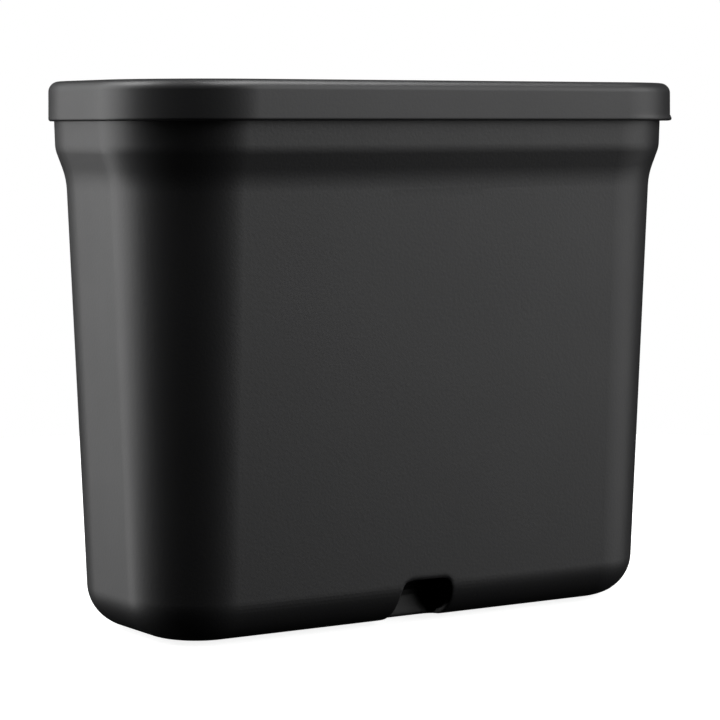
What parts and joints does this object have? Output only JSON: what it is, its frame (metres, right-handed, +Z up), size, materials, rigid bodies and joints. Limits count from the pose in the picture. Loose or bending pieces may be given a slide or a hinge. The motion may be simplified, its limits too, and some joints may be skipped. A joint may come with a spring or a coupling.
{
  "type": "slim waste bin",
  "caption": "Slim waste bin with rounded ends, a shouldered rim, a rear-hinged overhanging lid, a drop-in bag ring and a finger recess at the foot of the front.",
  "frame": {"origin": "On the floor, under the middle of the tub. The overall box is centred there to within 2 mm, because the hinge stands out at the back and the lid overhangs at the front.", "axes": "+X runs along the bin to its right end as seen from the front, +Y from the front to the hinged back, and +Z up."},
  "size_m": [0.3613, 0.1718, 0.2955],
  "materials": {
    "tub_plastic": "fine moulded grain",
    "lid_plastic": "fine moulded grain",
    "ring_plastic": "smooth moulded",
    "pin_steel": "drawn wire",
    "rubber": "matte"
  },
  "bodies": {
    "bin": {"tub": "tub_plastic", "bag_ring": "ring_plastic", "hinge_pin_left": "pin_steel", "hinge_pin_right": "pin_steel", "foot_front_left": "rubber", "foot_front_right": "rubber", "foot_rear_left": "rubber", "foot_rear_right": "rubber"},
    "lid": {"lid": "lid_plastic", "lid_pad_left": "rubber", "lid_pad_right": "rubber"}
  },
  "joints": [
    {"name": "lid_hinge", "type": "hinge", "parent": "bin", "child": "lid", "pos_m": [0, 0.08396, 0.2706], "axis": [-1, 0, 0], "range_deg": [0, 105]}
  ]
}
